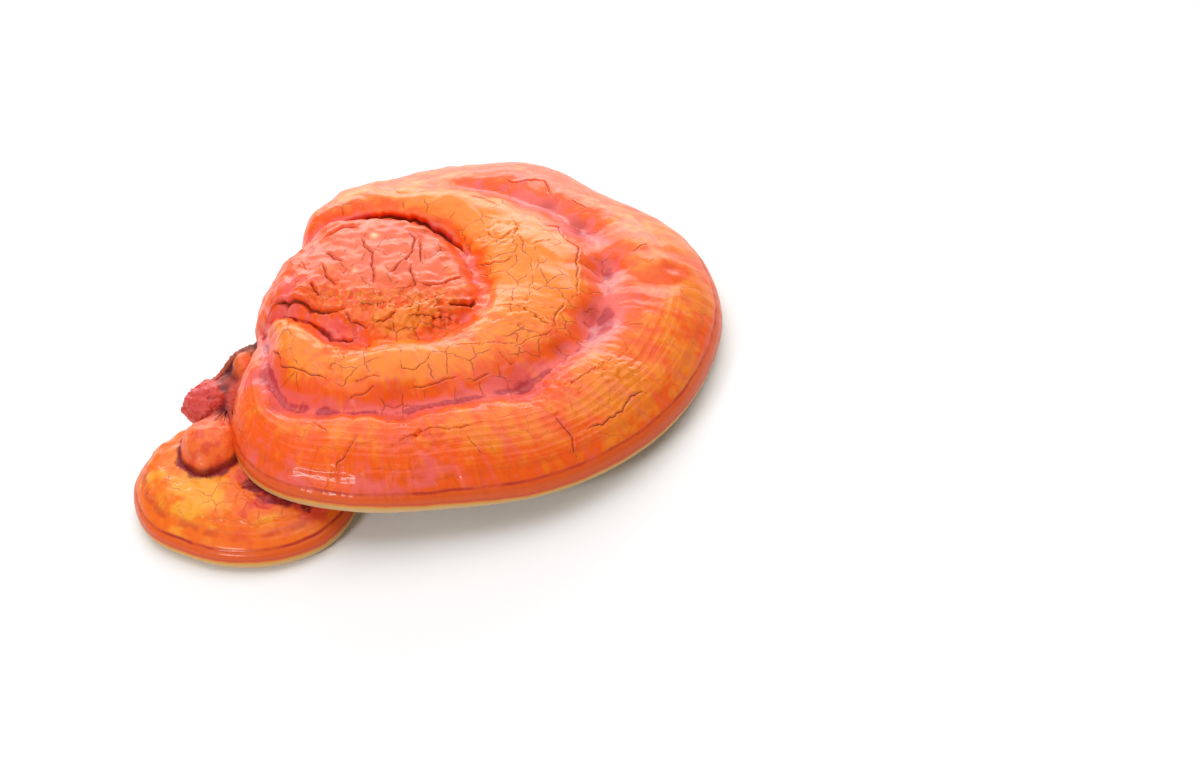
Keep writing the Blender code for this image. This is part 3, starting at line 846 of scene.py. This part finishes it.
def crust_group():
    """Lacquered crust: colour, roughness and height from noise and from what each vertex of a cap holds,
    all in millimetres, half widths of a crack or shares from 0 to 1."""
    group, inner, outer = new_group(
        "lacquered_crust",
        {
            "Crest": (1, 0.3, 0.03, 1), "Flank": (0.9, 0.1, 0.01, 1), "Blush": (0.86, 0.07, 0.03, 1),
            "Hollow": (0.5, 0.03, 0.03, 1), "Old growth": (0.86, 0.2, 0.08, 1),
            "Streaks": 0.3, "Red line": 0.7, "Band": 0.2,
        },
        {"Colour": "NodeSocketColor", "Roughness": "NodeSocketFloat", "Height": "NodeSocketFloat"},
    )
    given = inner.outputs
    names = ("relief", "rim", "crack", "tint", "age", "crazed", "stain", "scuff", "fleck", "streaked")
    relief, rim, crack, tint, age, crazed, stain, scuff, fleck, streaked = (
        attribute(group, name) for name in names
    )
    place = object_place(group)
    broad = noise_value(group, place, 9 * MM)
    patches = noise_value(group, place, 4.5 * MM, 1.0)
    fine = noise_value(group, place, 2.2 * MM, 3.0)
    streak = noise_value(group, attribute(group, "flow", "Vector"), 1.0, 3.0)
    streaked = maths(group, "MULTIPLY", given["Streaks"], streaked)
    speckle = span(group, noise_value(group, place, 1.6 * MM, 4.0), 0.44, 0.56)

    lifted = chained(
        group, "ADD", relief, swayed(group, broad, 3.0), swayed(group, patches, 1.8),
        swayed(group, fine, 1.2), tint,
    )
    colour = painted(
        group, given["Hollow"],
        (span(group, lifted, -6.2, -4.2), given["Blush"]),
        (span(group, lifted, -2.6, -0.4), given["Flank"]),
        (span(group, lifted, 0.2, 3.6), given["Crest"]),
        (maths(group, "MULTIPLY", age, 0.7), given["Old growth"]),
        (maths(group, "MULTIPLY", span(group, streak, 0.52, 0.36), streaked), given["Blush"]),
        (maths(group, "MULTIPLY", span(group, streak, 0.55, 0.72), streaked), given["Crest"]),
        (maths(group, "MULTIPLY", scuff, speckle), SCUFF_OCHRE),
    )

    wavy = maths(group, "ADD", rim, swayed(group, noise_value(group, place, 12 * MM), 0.7))
    scaled = node(group, "ShaderNodeMapRange", {"Value": wavy, "From Min": RIM_LOW, "From Max": RIM_HIGH})
    stops = [((way - RIM_LOW) / (RIM_HIGH - RIM_LOW), tone) for way, tone in MARGIN_STOPS]
    # Paler where the crust is yellowest: the margin's own yellower tone, and on the large cap's right margin
    # also painted light from that side.
    paler_and_lit = chained(group, "MULTIPLY", span(group, tint, 0.4, 1.6), 0.85, span(group, wavy, 0.6, 1.2))
    margin = painted(group, ramp(group, scaled.outputs[0], stops), (paler_and_lit, MARGIN_PALE_LIT))
    band = chained(
        group, "MULTIPLY", span(group, wavy, 7.5, 9.0), span(group, wavy, 11.5, 9.6),
        span(group, patches, 0.35, 0.6), given["Band"],
    )
    line = chained(
        group, "MULTIPLY", span(group, wavy, 4.0, 4.8), span(group, wavy, 5.7, 4.9),
        span(group, broad, 0.36, 0.6, 0.35, 1.0), given["Red line"],
    )
    cells = node(
        group, "ShaderNodeTexVoronoi",
        {"Vector": bent(group, place, 2.6 * MM, 1.0 * MM), "Scale": 1 / (8.0 * MM)},
        feature="DISTANCE_TO_EDGE", voronoi_dimensions="2D",
    ).outputs["Distance"]
    crazing = chained(
        group, "MULTIPLY", span(group, cells, 0.04, 0.0), span(group, broad, 0.42, 0.56), crazed,
        span(group, crack, 2.0, 5.5),
    )
    in_crack = span(group, crack, 0.95, 0.15)
    colour = painted(
        group, colour, (span(group, wavy, 6.5, 2.5), margin), (band, BAND_RED), (line, RED_LINE),
        (stain, STAIN_AND_SHADE_CRIMSON), (fleck, FLECK_CREAM), (crazing, CRAZE_RED), (in_crack, CRACK_BROWN),
    )

    duller = ((in_crack, 0.4), (scuff, 0.15), (stain, 0.4), (age, 0.12))
    roughness = chained(
        group, "ADD", span(group, fine, 0.3, 0.7, 0.30, 0.46), span(group, wavy, 1.5, -0.5, 0.0, 0.3),
        *(maths(group, "MULTIPLY", share, gain) for share, gain in duller),
    )
    rings = maths(group, "MULTIPLY", noise_rings(group, wavy, 0.7), span(group, rim, 34.0, 22.0))
    height = chained(
        group, "ADD", maths(group, "MULTIPLY", fine, 0.5),
        chained(group, "MULTIPLY", maths(group, "ADD", streak, rings), streaked, 5.0),
        maths(group, "MULTIPLY", noise_value(group, place, 0.7 * MM), 0.2),
        maths(group, "MULTIPLY", crazing, -1.2),
    )
    for label, result in (("Colour", colour), ("Roughness", roughness), ("Height", height)):
        group.links.new(result, outer.inputs[label])
    return group


def new_material(name):
    material = bpy.data.materials.new(name)
    material.use_nodes = True
    return material, material.node_tree, material.node_tree.nodes["Principled BSDF"]


def add_bump(tree, shader, height, distance, strength):
    made = node(tree, "ShaderNodeBump", {"Height": height, "Distance": distance, "Strength": strength})
    tree.links.new(made.outputs["Normal"], shader.inputs["Normal"])


def add_coat(shader, specular, weight, roughness):
    """A clear coat, and how much the skin under it mirrors."""
    values = {"Specular IOR Level": specular, "Coat Weight": weight, "Coat Roughness": roughness}
    for label, value in values.items():
        shader.inputs[label].default_value = value


def crust_material(name, settings, amounts):
    """Orange lacquer: a satin skin under a thin clear coat."""
    material, tree, shader = new_material(name)
    made = tree.nodes.new("ShaderNodeGroup")
    made.node_tree = shared("lacquered_crust", crust_group)
    for key in ("crest", "flank", "blush", "hollow", "old_growth"):
        made.inputs[key.replace("_", " ").capitalize()].default_value = opaque(getattr(settings, key))
    for label, amount in amounts.items():
        made.inputs[label].default_value = amount
    tree.links.new(made.outputs["Colour"], shader.inputs["Base Color"])
    tree.links.new(made.outputs["Roughness"], shader.inputs["Roughness"])
    add_coat(shader, 0.2, 0.22, 0.12)
    add_bump(tree, shader, made.outputs["Height"], 0.25 * MM, 0.8)
    return material


def pore_material():
    """Cream pore face: fine round pores, faint growth bands and a brown bruise here and there."""
    material, tree, shader = new_material("cream_pore_face")
    place = object_place(tree)
    cells = node(tree, "ShaderNodeTexVoronoi", {"Vector": place, "Scale": 1 / (0.55 * MM)})
    pores = cells.outputs["Distance"]
    blotch = noise_value(tree, place, 14 * MM, 4.0)
    bands = noise_rings(tree, attribute(tree, "growth"), 9.0)
    colour = painted(
        tree, PORE_CREAM,
        (span(tree, blotch, 0.35, 0.7), PORE_BRUISE),
        (span(tree, bands, 0.45, 0.7, 0.0, 0.35), PORE_BAND),
        (span(tree, pores, 0.45, 0.1, 0.0, 0.6), PORE_BROWN),
    )
    tree.links.new(colour, shader.inputs["Base Color"])
    shader.inputs["Roughness"].default_value = 0.8
    add_bump(tree, shader, pores, 0.2 * MM, 0.8)
    return material


def bark_material():
    """Stub: red and orange lacquered lumps, dark wood between them, painted shade in gaps and a satin skin.
    """
    material, tree, shader = new_material("stub_bark")
    place = object_place(tree)
    names = ("relief", "wood", "red", "crevice")
    relief, wood, red, crevice = (attribute(tree, name) for name in names)
    fine = noise_value(tree, place, 2.0 * MM, 4.0)
    mottle = noise_value(tree, place, 5 * MM, 3.0)
    brown = painted(tree, WOOD_BLACK, (span(tree, fine, 0.35, 0.65), WOOD_BROWN))
    # The last two coats are painted shade: in the gaps between the lumps, and where the stub meets the small
    # cap.
    colour = painted(
        tree, LUMP_ORANGE,
        (red, LUMP_ROSE),
        (span(tree, mottle, 0.46, 0.62, 0.0, 0.7), LUMP_RED),
        (wood, brown),
        (span(tree, relief, -0.8, -2.1), GAP_SHADE_CRIMSON),
        (maths(tree, "MULTIPLY", crevice, 0.75), JOINT_SHADE_CRIMSON),
    )
    tree.links.new(colour, shader.inputs["Base Color"])
    tree.links.new(span(tree, wood, 0.0, 1.0, 0.42, 0.85), shader.inputs["Roughness"])
    add_coat(shader, 0.25, 0.1, 0.2)
    add_bump(tree, shader, fine, 0.5 * MM, 0.8)
    return material


def flesh_material(settings):
    """Corky flesh on the flat cut: tan, with darker fibres that run out of the log."""
    material, tree, shader = new_material("cut_flesh")
    place = object_place(tree)
    stretched = node(tree, "ShaderNodeMapping", {"Vector": place, "Scale": (1.0, 1.0, 0.25)}).outputs[0]
    fibres = noise_value(tree, stretched, 1.2 * MM, 4.0)
    blotch = noise_value(tree, place, 6 * MM, 3.0)
    colour = painted(
        tree, settings.flesh,
        (span(tree, fibres, 0.4, 0.65), FIBRE_BROWN),
        (span(tree, blotch, 0.5, 0.7, 0.0, 0.6), BLOTCH_BROWN),
    )
    tree.links.new(colour, shader.inputs["Base Color"])
    shader.inputs["Roughness"].default_value = 0.92
    add_bump(tree, shader, fibres, 0.5 * MM, 0.9)
    return material


def shared(name, make):
    """The material or group of that name, made once."""
    kept = bpy.data.materials.get(name) or bpy.data.node_groups.get(name)
    return kept or make()


class MUSHROOM_OT_grow_cap(bpy.types.Operator):
    """Grow the large cap's crust and pore face"""

    bl_idname = "mushroom.grow_cap"
    bl_label = "Grow the large cap"

    def execute(self, context):
        settings = context.scene.reishi_cap

        def longest(place):
            crack = nearest_crack(CAP_CRACKS, place.x, place.y)
            limit = np.where(crack.distance < 0.9 * MM, CAP_EDGES.crack, CAP_EDGES.crust)
            limit = np.where(swellings(CAP_SCUFFS, place.x, place.y) > 0.5 * MM, CAP_EDGES.scuff, limit)
            limit = np.where(place.is_top, limit, CAP_EDGES.margin)
            return np.where(place.growth > COARSE_FROM, CAP_EDGES.pores, limit)

        mesh_ball, place, normals = grown(CAP_CUTS, spread_cap, longest)
        x, y, plan = place.x, place.y, from_above(place)
        crack = nearest_crack(CAP_CRACKS, x, y)
        top = ease(3.0, 2.9, place.growth)
        on_knob = ease(1.1, 0.9, place.growth)
        past_knob = ease(1.0, 1.2, place.growth)
        outer_zone = ease(1.7, 2.2, place.growth) * ease(-1 * MM, 6 * MM, place.rim)
        towards_right = np.cos(np.radians(place.angle))
        streak_way = streak_places(place, 90, 9)
        near_side = ease(10 * MM, -50 * MM, y)

        calm = 1 - 0.35 * past_knob - 0.25 * ease(1.8, 2.2, place.growth)
        calm *= 1 - 0.5 * ease(0, 0.7, towards_right) * past_knob
        pillows = settings.lumpiness * (2.6 * np.abs(grain(plan, PILLOW_SIZE, 3.0)) - 0.6)
        pillows *= 0.75 + 0.25 * ease(0.9, 1.1, place.growth)
        knots = settings.lumpiness * grain(plan, KNOT_SIZE, 7.0) * (0.35 + 0.35 * on_knob)
        furrow = np.clip(1 - 6 * np.abs(grain(streak_way, FURROW_SIZE, 3.0)), 0, 1)
        radial = settings.wrinkles * (0.4 * grain(streak_way, WRINKLE_SIZE, 5.0, 3) - 0.8 * furrow)
        radial *= outer_zone * (0.3 + 0.7 * near_side)
        radial += FAR_SWELL * grain(streak_way, FURROW_SIZE, 21.0) * outer_zone * (1 - near_side)
        wobble = 0.5 * MM * grain(plan, 8 * MM, 11.0)
        ripples = RIPPLE_HEIGHT * np.sin((place.rim + wobble) * 2 * math.pi / RIPPLE_STEP)
        ripples *= ease(5 * MM, 7 * MM, place.rim) * ease(32 * MM, 20 * MM, place.rim) * place.is_top
        ripples *= 0.2 + 0.8 * near_side
        crumble = strength(CAP_CRUMBLES, x, y)
        crumble *= CRUMBLE_HEIGHT * (1 - 3.5 * np.abs(grain(plan, CRUMBLE_SIZE, 5.0, 3)))
        pits = swellings(CAP_PITS, x, y)
        relief = ((pillows + knots) * calm + crumble + swellings(KNOB_LUMPS, x, y) - pits) * top
        relief += radial + ripples
        groove = crack.depth * np.clip(1 - crack.ratio, 0, 1) * settings.crack_depth * top
        lip = 0.22 * crack.depth * bump(crack.ratio - 1.9, 0.8) * (1 + 0.6 * crack.side) * top
        points = raised(place, normals, relief - margin_furrows(place.rim, 4.8 * MM) - groove + lip)
        snap = (crack.distance < CRACK_SNAP) & place.is_top
        points[:, 0] += np.where(snap, crack.foot_x - x, 0)
        points[:, 1] += np.where(snap, crack.foot_y - y, 0)

        tint = (swellings(CAP_YELLOWS, x, y) - swellings(CAP_REDS, x, y)) / MM
        # Painted shade: darker along the outer wall of the second groove on the near side, where that wall
        # turns away.
        shaded = bump(place.past_groove - 0.6 * MM, 1.5 * MM) * ease(25 * MM, -25 * MM, y)
        tint -= shaded * (4.0 + 5.0 * grain(plan, 7 * MM, 15.0))
        tucked = 1.1 * ease(-0.1, 0.5, towards_right) * ease(3.0 * MM, 1.0 * MM, place.rim)
        attributes = {
            "growth": place.growth,
            "rim": place.rim / MM + tucked,
            "relief": (place.relief + relief) / MM,
            "crack": np.minimum(crack.ratio, CRACK_FAR),
            "tint": tint * top,
            "age": strength(CAP_MATTE, x, y) * on_knob * top,
            "crazed": (0.3 + 0.5 * ease(2.15, 1.9, place.growth)) * top,
            "stain": np.clip(pits / MM * 0.35, 0, 0.35) * top,
            "scuff": strength(CAP_SCUFFS, x, y) * top,
            "fleck": strength(CAP_FLECKS, x, y, 1.5) * top,
            "flow": streak_way / STREAK_SIZE,
            "streaked": 0.15 + 0.85 * near_side,
        }
        amounts = {"Streaks": 0.30, "Red line": 0.8, "Band": 0.25}
        lacquer = crust_material("large_cap_lacquer", settings, amounts)
        materials = (lacquer, shared("cream_pore_face", pore_material))
        is_pores = place.growth > PORE_FACE_FROM
        cap = piece_from(mesh_ball, "cap_crust", points, attributes, materials, is_pores)
        stand_for(cap, "cap")
        return {"FINISHED"}


def spread_small(unit):
    """Where each direction of the ball lies on the small cap."""
    angle, share = ball_share(unit)
    is_top = share <= TOP_SHARE
    reach = around(SMALL_REACH, angle) * MM
    out = np.clip(share / TOP_SHARE, 0, 1)
    dome = dome_height(out, SMALL_DOME, SMALL_FULLNESS)
    roll = SMALL_ROLL * bump(out - SMALL_ROLL_AT, 0.12) * ease(1.0, 0.9, out)
    low_radius, low_height, low_growth = below_margin(share, reach, SMALL_EQUATOR, 0)
    radius = np.where(is_top, out * reach, low_radius)
    height = np.where(is_top, SMALL_EQUATOR + dome + roll, low_height)
    x, y = across_and_up(radius, angle)
    rim = np.where(is_top, np.hypot(dome, reach - radius), (3 - low_growth) * SMALL_EQUATOR * math.pi / 2)
    growth_x, growth_y = CAP_GROWTH[0] + SMALL_GROWTH[0], CAP_GROWTH[1] + SMALL_GROWTH[1]
    return SimpleNamespace(
        points=np.stack([growth_x + x, growth_y + y, height], axis=1),
        x=x, y=y, angle=angle, rim=rim, growth=np.where(is_top, 3 * out, low_growth),
    )


class MUSHROOM_OT_grow_small_cap(bpy.types.Operator):
    """Grow the small cap's crust and pore face"""

    bl_idname = "mushroom.grow_small_cap"
    bl_label = "Grow the small cap"

    def execute(self, context):
        settings = context.scene.reishi_small_cap

        def longest(place):
            crack = nearest_crack(SMALL_CRACKS, place.x, place.y)
            limit = np.where(crack.distance < 1.2 * MM, SMALL_EDGES.crack, SMALL_EDGES.crust)
            return np.where(place.growth > COARSE_FROM, SMALL_EDGES.pores, limit)

        mesh_ball, place, normals = grown(SMALL_CUTS, spread_small, longest)
        x, y, plan = place.x, place.y, from_above(place)
        top = ease(3.0, 2.9, place.growth)
        edge = nearest_crack(SMALL_CRACKS[:1], x, y, LAYER_REACH)
        crust = ease(1.2 * MM, -0.2 * MM, -edge.side * edge.distance)
        crack = nearest_crack(SMALL_CRACKS, x, y)
        lumps = settings.lumpiness * (grain(plan, 6 * MM, 2.0) + 0.5 * grain(plan, 2.6 * MM, 5.0)) * crust
        bands = 0.05 * MM * np.sin(place.rim * 2 * math.pi / (2.2 * MM)) * (1 - crust)
        groove = crack.depth * np.clip(1 - crack.ratio, 0, 1)
        relief = (lumps + bands + LAYER_STEP * crust - groove) * top
        points = raised(place, normals, relief - margin_furrows(place.rim, 4.4 * MM))

        # Dark crimson in a ring where the stub sits on this cap, which is painted shade, and in spots along
        # the large cap's overhanging margin, partly stain and partly painted shadow.
        blotches = swellings(SMALL_STAINS_AND_SHADOW, x, y) / MM * (1 + 1.4 * grain(plan, 3 * MM, 6.0, 3))
        ragged = 1 + 0.6 * grain(plan, 4 * MM, 13.0, 3)
        near_stub = np.abs(stub_distance(points - np.array([*CAP_GROWTH, 0]))[0]) * ragged
        stain = ease(1.9 * MM, 0.9 * MM, near_stub) + ease(0.3, 0.8, blotches)
        zero = np.zeros(len(points))
        attributes = {
            "growth": place.growth,
            "rim": place.rim / MM + 0.4,
            "relief": 1.5 * lumps / MM + 0.8 * crust,
            "crack": np.minimum(crack.ratio + 0.4, CRACK_FAR),
            "tint": (swellings(SMALL_YELLOWS, x, y) - swellings(SMALL_REDS, x, y)) / MM,
            "age": zero,
            "crazed": 0.5 * crust,
            "stain": np.clip(stain, 0, 1) * top,
            "scuff": zero,
            "fleck": zero,
            "flow": streak_places(place, 45, 5) / STREAK_SIZE,
            "streaked": zero + 1,
        }
        amounts = {"Streaks": 0.12, "Red line": 1.0, "Band": 0.7}
        lacquer = crust_material("small_cap_lacquer", settings, amounts)
        materials = (lacquer, shared("cream_pore_face", pore_material))
        is_pores = place.growth > PORE_FACE_FROM
        cap = piece_from(mesh_ball, "small_cap_crust", points, attributes, materials, is_pores)
        stand_for(cap, "small_cap")
        return {"FINISHED"}


def stub_distance(points):
    """Rough signed distance to the run-together lumps, below 0 inside, and each lump's share in it."""
    shares = []
    for centre, half, _, _ in STUB_LUMPS:
        scaled = (points - np.array(centre) * MM) / (np.array(half) * MM)
        away = (np.linalg.norm(scaled, axis=1) - 1) * min(half) * MM
        shares.append(np.exp(-away / STUB_BLEND))
    total = np.sum(shares, axis=0)
    return -np.log(total) * STUB_BLEND, np.array(shares) / total


def spread_stub(unit):
    """Each direction's outermost place on the lumps, held back to the flat cut."""
    core = np.array(STUB_CORE) * MM
    inside = np.zeros(len(unit))
    for distance in np.arange(STUB_SEARCH, 0, -MM):
        hit = (stub_distance(core + unit * distance)[0] < 0) & (inside == 0)
        inside[hit] = distance
    outside = inside + MM
    for _ in range(8):
        middle = (inside + outside) / 2
        solid = stub_distance(core + unit * middle[:, None])[0] < 0
        inside = np.where(solid, middle, inside)
        outside = np.where(solid, outside, middle)
    cut_way = math.radians(STUB_CUT_TOWARDS)
    facing = unit @ np.array([math.cos(cut_way), math.sin(cut_way), 0])
    to_cut = STUB_CUT_AT / np.maximum(facing, 1e-6)
    local = core + unit * np.minimum(inside, to_cut)[:, None]
    return SimpleNamespace(
        points=local + np.array([*CAP_GROWTH, 0]), local=local, is_cut=inside > to_cut + 0.05 * MM,
    )


def above_small_cap(local):
    """How far each place, measured from the large cap's growth point, is off the small cap's top."""
    x, y = local[:, 0] - SMALL_GROWTH[0], local[:, 1] - SMALL_GROWTH[1]
    reach = around(SMALL_REACH, np.degrees(np.arctan2(y, x))) * MM
    out = np.hypot(x, y) / reach
    return np.abs(local[:, 2] - SMALL_EQUATOR - dome_height(out, SMALL_DOME, SMALL_FULLNESS)) + (out > 1)


class MUSHROOM_OT_grow_stub(bpy.types.Operator):
    """Grow the stub with its bark and flat cut"""

    bl_idname = "mushroom.grow_stub"
    bl_label = "Grow the stub"

    def execute(self, context):
        settings = context.scene.reishi_stub

        def longest(place):
            return np.full(len(place.points), STUB_EDGE)

        mesh_ball, place, normals = grown(STUB_CUTS, spread_stub, longest)
        shares = stub_distance(place.local)[1]
        wood, red = (shares.T @ np.array([lump[part] for lump in STUB_LUMPS]) for part in (2, 3))
        crease = 1 - shares.max(axis=0)
        broken = np.clip(0.12 + 0.9 * wood + 0.6 * red, 0, 1) * ease(0.6, 0.3, crease)
        rough = facets(place.local, 6 * MM) + 0.5 * grain(place.local, 2 * MM, 4.0, 3)
        splits = 0.6 * np.clip(1 - 7 * np.abs(grain(place.local, 7 * MM, 9.0, 2)), 0, 1)
        rough = settings.roughness * (rough - splits) * broken + 1.0 * MM * grain(place.local, 8 * MM, 3.0)
        relief = np.where(place.is_cut, 0.15 * rough, rough) - 2.8 * MM * crease * ~place.is_cut
        attributes = {
            "relief": relief / MM,
            "wood": np.clip(wood, 0, 1),
            "red": np.clip(red, 0, 1),
            # Painted shade where the stub meets the small cap's top.
            "crevice": ease(3.2 * MM, 1.6 * MM, above_small_cap(place.local)),
        }
        materials = (bark_material(), flesh_material(settings))
        points = raised(place, normals, relief)
        stub = piece_from(mesh_ball, "stub_bark", points, attributes, materials, place.is_cut)
        stand_for(stub, "stub")
        return {"FINISHED"}


def softbox(name, place, size, power):
    """A white light that looks at the part and that no camera sees."""
    light = bpy.data.lights.new(name, "AREA")
    light.shape = "RECTANGLE"
    light.size, light.size_y = size
    light.energy = power
    box = bpy.data.objects.new(name, light)
    turn = (Vector(LIT_PLACE) - Vector(place)).to_track_quat("-Z", "Y").to_matrix().to_4x4()
    box.matrix_world = Matrix.Translation(place) @ turn
    box.visible_camera = False
    bpy.context.scene.collection.objects.link(box)


def photo_camera():
    """The camera of the photograph: straight down its slope, rolled, with the frame's middle off the part."""
    down, roll = math.radians(VIEW_DOWN), math.radians(VIEW_ROLL)
    forward = Vector((0, math.cos(down), -math.sin(down)))
    flat_right, flat_up = Vector((1, 0, 0)), Vector((0, math.sin(down), math.cos(down)))
    right = flat_right * math.cos(roll) - flat_up * math.sin(roll)
    up = flat_right * math.sin(roll) + flat_up * math.cos(roll)
    step = MM / PIXELS_PER_MM
    across = (PHOTO_SIZE[0] / 2 - ORIGIN_PIXEL[0]) * step
    upward = (ORIGIN_PIXEL[1] - PHOTO_SIZE[1] / 2) * step
    place = Vector(VIEW_POINT) + right * across + up * upward - forward * VIEW_AWAY
    data = bpy.data.cameras.new("photo_view")
    data.sensor_width = SENSOR_WIDTH
    data.lens = SENSOR_WIDTH * VIEW_AWAY / (PHOTO_SIZE[0] * step)
    data.clip_start, data.clip_end = 0.01, 20.0
    camera = bpy.data.objects.new("photo_view", data)
    turn = Matrix((right, up, -forward)).transposed().to_4x4()
    camera.matrix_world = Matrix.Translation(place) @ turn
    bpy.context.scene.collection.objects.link(camera)
    bpy.context.scene.camera = camera


class MUSHROOM_OT_set_stage(bpy.types.Operator):
    """Set the floor, the lights and the camera"""

    bl_idname = "mushroom.set_stage"
    bl_label = "Set the stage"

    def execute(self, context):
        settings = context.scene.reishi_stage
        sheet = bmesh.new()
        bmesh.ops.create_grid(sheet, x_segments=1, y_segments=1, size=settings.floor_size / 2)
        mesh = bpy.data.meshes.new("white_floor")
        sheet.to_mesh(mesh)
        sheet.free()
        material, tree, shader = new_material("white_sweep")
        shader.inputs["Base Color"].default_value = opaque(FLOOR_WHITE)
        shader.inputs["Roughness"].default_value = 0.9
        mesh.materials.append(material)
        floor = bpy.data.objects.new("white_floor", mesh)
        context.scene.collection.objects.link(floor)
        world = bpy.data.worlds.new("white_surroundings")
        world.use_nodes = True
        background = world.node_tree.nodes["Background"]
        background.inputs["Color"].default_value = (1, 1, 1, 1)
        seen = node(world.node_tree, "ShaderNodeLightPath").outputs["Is Camera Ray"]
        strength = span(world.node_tree, seen, 0.0, 1.0, settings.sky, 1.0)
        world.node_tree.links.new(strength, background.inputs["Strength"])
        context.scene.world = world
        for name, (place, size, power) in SOFTBOXES.items():
            softbox(name, place, size, getattr(settings, power))
        context.scene.view_settings.view_transform = "Standard"
        photo_camera()
        return {"FINISHED"}


OPERATORS = (
    MUSHROOM_OT_grow_cap, MUSHROOM_OT_grow_small_cap, MUSHROOM_OT_grow_stub, MUSHROOM_OT_set_stage,
)


class MUSHROOM_PT_reishi(bpy.types.Panel):
    """The pieces and the stage, with their settings"""

    bl_label = "Reishi mushroom"
    bl_idname = "MUSHROOM_PT_reishi"
    bl_space_type = "VIEW_3D"
    bl_region_type = "UI"
    bl_category = "Reishi"

    def draw(self, context):
        groups = ("reishi_cap", "reishi_small_cap", "reishi_stub", "reishi_stage")
        for key, operator in zip(groups, OPERATORS):
            settings = getattr(context.scene, key)
            box = self.layout.box()
            for name in settings.bl_rna.properties.keys():
                if name not in ("rna_type", "name"):
                    box.prop(settings, name)
            box.operator(operator.bl_idname)


SETTINGS = {
    "reishi_cap": CapSettings,
    "reishi_small_cap": SmallCapSettings,
    "reishi_stub": StubSettings,
    "reishi_stage": StageSettings,
}
CLASSES = (*SETTINGS.values(), *OPERATORS, MUSHROOM_PT_reishi)


def register():
    for kind in CLASSES:
        bpy.utils.register_class(kind)
    for key, kind in SETTINGS.items():
        setattr(bpy.types.Scene, key, bpy.props.PointerProperty(type=kind))


def unregister():
    for key in SETTINGS:
        delattr(bpy.types.Scene, key)
    for kind in reversed(CLASSES):
        bpy.utils.unregister_class(kind)


def main():
    register()
    bpy.ops.mushroom.grow_cap()
    bpy.ops.mushroom.grow_small_cap()
    bpy.ops.mushroom.grow_stub()
    bpy.ops.mushroom.set_stage()


if __name__ == "__main__":
    main()
